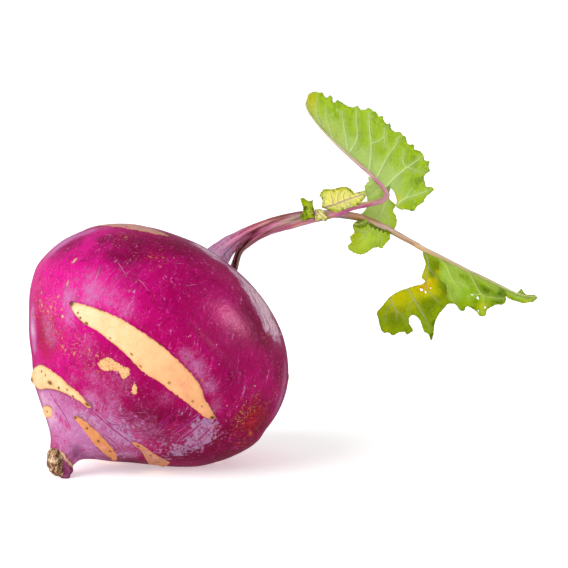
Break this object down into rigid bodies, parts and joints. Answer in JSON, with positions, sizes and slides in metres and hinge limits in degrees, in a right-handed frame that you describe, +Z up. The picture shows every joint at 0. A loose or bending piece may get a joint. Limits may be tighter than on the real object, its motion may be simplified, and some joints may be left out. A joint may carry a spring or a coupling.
{
  "type": "purple kohlrabi",
  "caption": "Purple kohlrabi lying on its side: a round swollen stem with pale leaf scars, a short woody root stub, and thin curved stalks with toothed green leaves.",
  "frame": {"origin": "centre of the flat spot on the bulb's belly, on the ground it rests on", "axes": "+Z up off the ground, +X the way the leaves reach out, -Y toward the side that shows the longest leaf scar"},
  "size_m": [0.183, 0.0962, 0.1317],
  "materials": {
    "purple_skin": "waxy semi-gloss magenta-purple skin with a lavender bloom toward the root and cream leaf scars",
    "root_wood": "rough torn brown-grey root wood",
    "leaf_stalk": "smooth ribbed mauve to pink-brown stalk",
    "leaf_green": "matt lime-green leaf with pale veins",
    "leaf_yellow": "matt pale yellow-green young leaf lobe"
  },
  "bodies": {
    "root": {"bulb": "purple_skin", "root_stub": "root_wood", "tall_leaf_stalk": "leaf_stalk", "long_leaf_stalk": "leaf_stalk", "tall_leaf_blade": "leaf_green", "long_leaf_blade": "leaf_green", "stalk_lobe_lower": "leaf_green", "stalk_lobe_middle": "leaf_yellow", "stalk_lobe_upper": "leaf_yellow", "stalk_lobe_outer": "leaf_green"}
  },
  "joints": []
}
